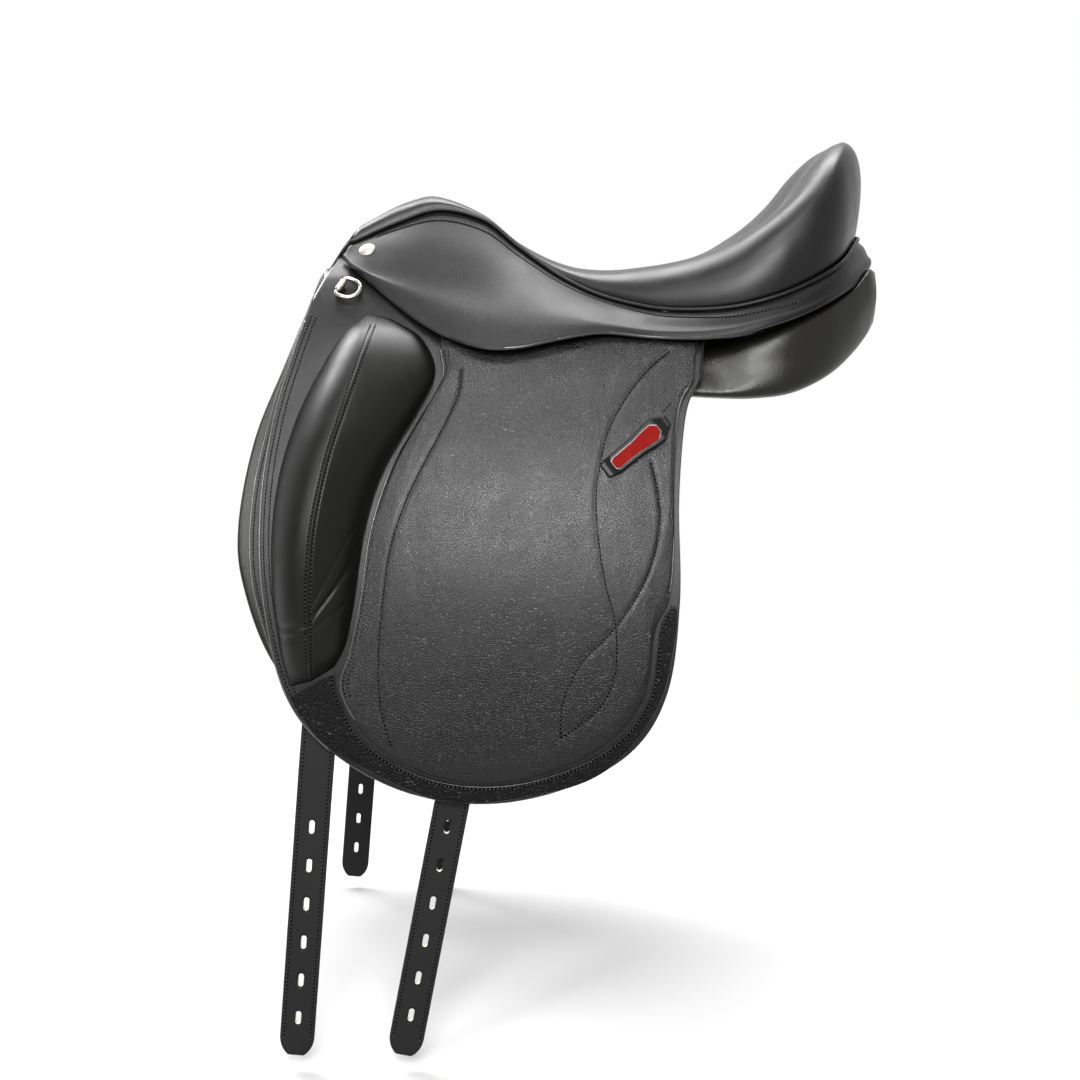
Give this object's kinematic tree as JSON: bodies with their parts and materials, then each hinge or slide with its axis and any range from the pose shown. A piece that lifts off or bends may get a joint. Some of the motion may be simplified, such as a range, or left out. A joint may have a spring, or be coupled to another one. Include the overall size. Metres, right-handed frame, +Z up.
{
  "type": "dressage saddle",
  "caption": "Black leather dressage saddle: deep seat on a tree, long flaps with knee blocks that lift, girth straps, stirrup bars, panels and dee rings.",
  "frame": {"origin": "on the horse's spine line, below the deepest point of the seat", "axes": "+X to the rear of the saddle, +Y to the rider's right, +Z up"},
  "size_m": [0.5313, 0.4918, 0.7441],
  "materials": {
    "seat_leather": "smooth black calf leather, satin",
    "skirt_leather": "smooth black leather, satin",
    "cover_leather": "smooth black padded leather, satin",
    "flap_leather": "thick black leather",
    "block_leather": "soft black leather over foam",
    "grained_leather": "pebble grained black leather",
    "panel_leather": "soft black panel leather",
    "sweat_leather": "thick black leather",
    "strap_leather": "matt black strap leather over nylon",
    "welt_leather": "black piping",
    "red_insert": "red enamel",
    "webbing": "woven webbing",
    "foam": "open cell foam",
    "tree_moulding": "moulded fibre reinforced plastic",
    "spring_steel": "spring steel",
    "forged_steel": "forged stainless steel",
    "nickel": "polished nickel plate"
  },
  "bodies": {
    "saddle": {"tree_frame": "tree_moulding", "head_plate": "spring_steel", "spring_bars": "spring_steel", "seat_webs": "webbing", "seat_foam": "foam", "seat_cover": "seat_leather", "seat_welt": "welt_leather", "pommel_facing": "skirt_leather", "skirt_left": "skirt_leather", "skirt_right": "skirt_leather", "cantle_band": "skirt_leather", "saddle_nails": "nickel", "gullet_lining": "panel_leather", "panel_left": "panel_leather", "panel_right": "panel_leather", "knee_panel_left": "panel_leather", "knee_panel_right": "panel_leather", "sweat_flap_left": "sweat_leather", "sweat_flap_right": "sweat_leather", "flap_head_left": "flap_leather", "flap_head_right": "flap_leather", "stirrup_bar_left": "forged_steel", "stirrup_bar_right": "forged_steel", "bar_rivets": "spring_steel", "girth_webs": "webbing", "dee_staple_left": "nickel", "dee_staple_right": "nickel"},
    "skirt_lap_left_body": {"skirt_lap_left": "skirt_leather"},
    "flap_left_body": {"flap_left": "flap_leather", "flap_cover_left": "cover_leather", "wear_strip_left": "grained_leather", "knee_block_left": "block_leather", "keeper_left": "flap_leather", "keeper_badge_left": "red_insert"},
    "billet_front_left_body": {"billet_front_left": "strap_leather"},
    "billet_rear_left_body": {"billet_rear_left": "strap_leather"},
    "dee_left_body": {"dee_ring_left": "nickel"},
    "catch_left_body": {"bar_catch_left": "forged_steel"},
    "skirt_lap_right_body": {"skirt_lap_right": "skirt_leather"},
    "flap_right_body": {"flap_right": "flap_leather", "flap_cover_right": "cover_leather", "wear_strip_right": "grained_leather", "knee_block_right": "block_leather", "keeper_right": "flap_leather", "keeper_badge_right": "red_insert"},
    "billet_front_right_body": {"billet_front_right": "strap_leather"},
    "billet_rear_right_body": {"billet_rear_right": "strap_leather"},
    "dee_right_body": {"dee_ring_right": "nickel"},
    "catch_right_body": {"bar_catch_right": "forged_steel"}
  },
  "joints": [
    {"name": "skirt_lap_lift_left", "type": "hinge", "parent": "saddle", "child": "skirt_lap_left_body", "pos_m": [-0.205, -0.0937, 0.093], "axis": [-0.9574, 0.1971, 0.2111], "range_deg": [0, 60]},
    {"name": "flap_lift_left", "type": "hinge", "parent": "saddle", "child": "flap_left_body", "pos_m": [-0.24, -0.1103, 0.071], "axis": [-0.9691, 0.1368, 0.2055], "range_deg": [0, 16]},
    {"name": "billet_swing_front_left", "type": "hinge", "parent": "saddle", "child": "billet_front_left_body", "pos_m": [-0.204, -0.13912, 0.01], "axis": [0, 1, 0], "range_deg": [-5, 8]},
    {"name": "billet_swing_rear_left", "type": "hinge", "parent": "saddle", "child": "billet_rear_left_body", "pos_m": [-0.058, -0.13912, 0.01], "axis": [0, 1, 0], "range_deg": [-8, 5]},
    {"name": "dee_turn_left", "type": "hinge", "parent": "saddle", "child": "dee_left_body", "pos_m": [-0.218, -0.10735, 0.07838], "axis": [-0.4226, -0.6129, -0.6677], "range_deg": [0, 110]},
    {"name": "catch_turn_left", "type": "hinge", "parent": "saddle", "child": "catch_left_body", "pos_m": [-0.07667, -0.1014, 0.06066], "axis": [0, -1, 0], "range_deg": [0, 70]},
    {"name": "skirt_lap_lift_right", "type": "hinge", "parent": "saddle", "child": "skirt_lap_right_body", "pos_m": [-0.205, 0.0937, 0.093], "axis": [0.9574, 0.1971, -0.2111], "range_deg": [0, 60]},
    {"name": "flap_lift_right", "type": "hinge", "parent": "saddle", "child": "flap_right_body", "pos_m": [-0.24, 0.1103, 0.071], "axis": [0.9691, 0.1368, -0.2055], "range_deg": [0, 16]},
    {"name": "billet_swing_front_right", "type": "hinge", "parent": "saddle", "child": "billet_front_right_body", "pos_m": [-0.204, 0.13912, 0.01], "axis": [0, 1, 0], "range_deg": [-5, 8]},
    {"name": "billet_swing_rear_right", "type": "hinge", "parent": "saddle", "child": "billet_rear_right_body", "pos_m": [-0.058, 0.13912, 0.01], "axis": [0, 1, 0], "range_deg": [-8, 5]},
    {"name": "dee_turn_right", "type": "hinge", "parent": "saddle", "child": "dee_right_body", "pos_m": [-0.218, 0.10735, 0.07838], "axis": [0.4226, -0.6129, 0.6677], "range_deg": [0, 110]},
    {"name": "catch_turn_right", "type": "hinge", "parent": "saddle", "child": "catch_right_body", "pos_m": [-0.07667, 0.1014, 0.06066], "axis": [0, -1, 0], "range_deg": [0, 70]}
  ]
}
